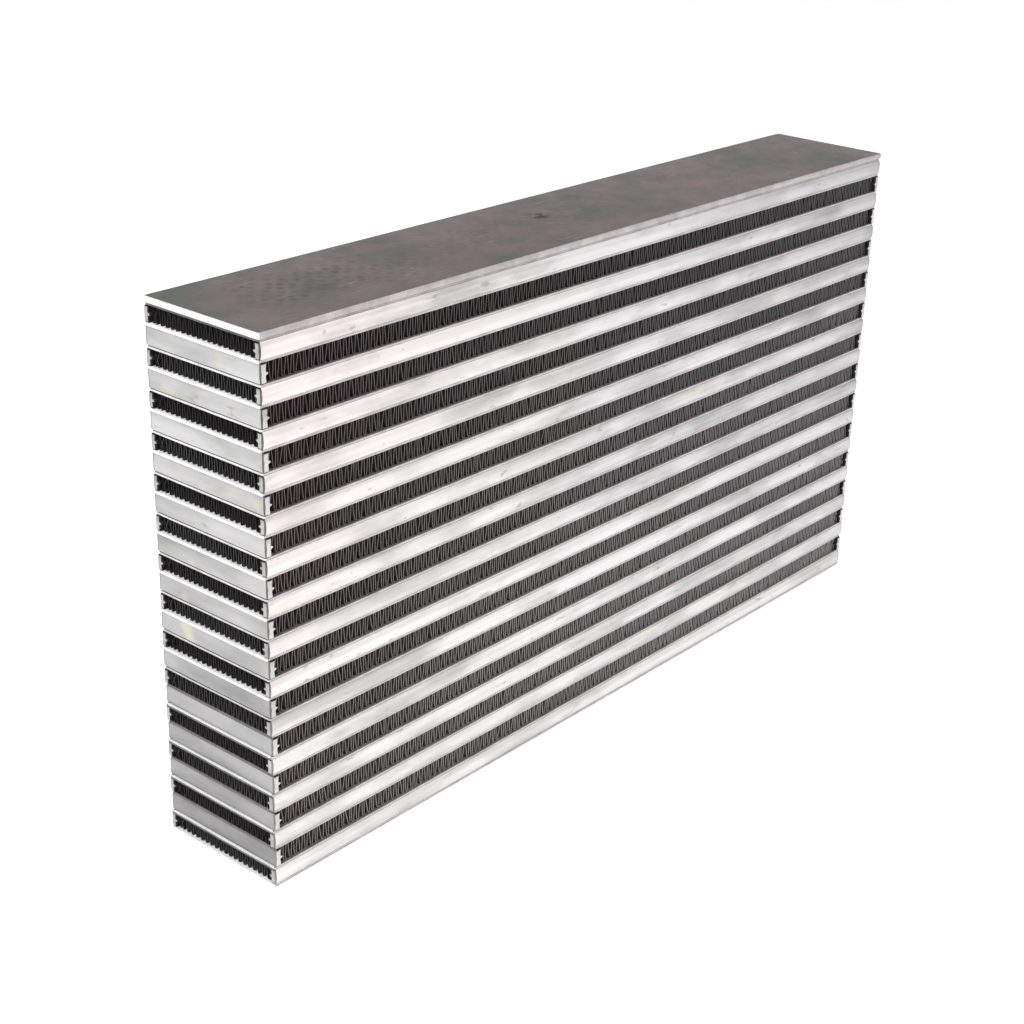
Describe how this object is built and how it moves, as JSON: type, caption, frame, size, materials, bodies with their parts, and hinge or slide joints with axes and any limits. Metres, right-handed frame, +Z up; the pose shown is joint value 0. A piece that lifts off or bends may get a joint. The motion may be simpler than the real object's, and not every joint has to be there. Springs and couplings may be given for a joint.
{
  "type": "hydraulic oil cooler core",
  "caption": "Brazed bar-and-plate oil cooler core: side plates, parting sheets, closing bars and folded fins, with oil passages open at both ends for header tanks.",
  "frame": {"origin": "centre of the underside of the bottom side plate", "axes": "+X along the core's length, the way the oil flows; +Y through its depth, the way the air flows, with the front face at -Y; +Z up the stack of layers"},
  "size_m": [0.5, 0.075, 0.2765],
  "materials": {
    "bar": "mill finish, satin, brazed",
    "side_plate": "matte, stained by brazing flux",
    "fin": "dull, as brazed"
  },
  "bodies": {
    "root": {"top_side_plate": "side_plate", "bottom_side_plate": "side_plate", "top_sheet": "bar", "oil_fin_01": "fin", "oil_channel_01": "bar", "oil_fin_02": "fin", "oil_channel_02": "bar", "oil_fin_03": "fin", "oil_channel_03": "bar", "oil_fin_04": "fin", "oil_channel_04": "bar", "oil_fin_05": "fin", "oil_channel_05": "bar", "oil_fin_06": "fin", "oil_channel_06": "bar", "oil_fin_07": "fin", "oil_channel_07": "bar", "oil_fin_08": "fin", "oil_channel_08": "bar", "oil_fin_09": "fin", "oil_channel_09": "bar", "oil_fin_10": "fin", "oil_channel_10": "bar", "oil_fin_11": "fin", "oil_channel_11": "bar", "oil_fin_12": "fin", "oil_channel_12": "bar", "oil_fin_13": "fin", "oil_channel_13": "bar", "oil_fin_14": "fin", "oil_channel_14": "bar", "air_channel_01": "bar", "air_fin_01": "fin", "air_channel_02": "bar", "air_fin_02": "fin", "air_channel_03": "bar", "air_fin_03": "fin", "air_channel_04": "bar", "air_fin_04": "fin", "air_channel_05": "bar", "air_fin_05": "fin", "air_channel_06": "bar", "air_fin_06": "fin", "air_channel_07": "bar", "air_fin_07": "fin", "air_channel_08": "bar", "air_fin_08": "fin", "air_channel_09": "bar", "air_fin_09": "fin", "air_channel_10": "bar", "air_fin_10": "fin", "air_channel_11": "bar", "air_fin_11": "fin", "air_channel_12": "bar", "air_fin_12": "fin", "air_channel_13": "bar", "air_fin_13": "fin"}
  },
  "joints": []
}
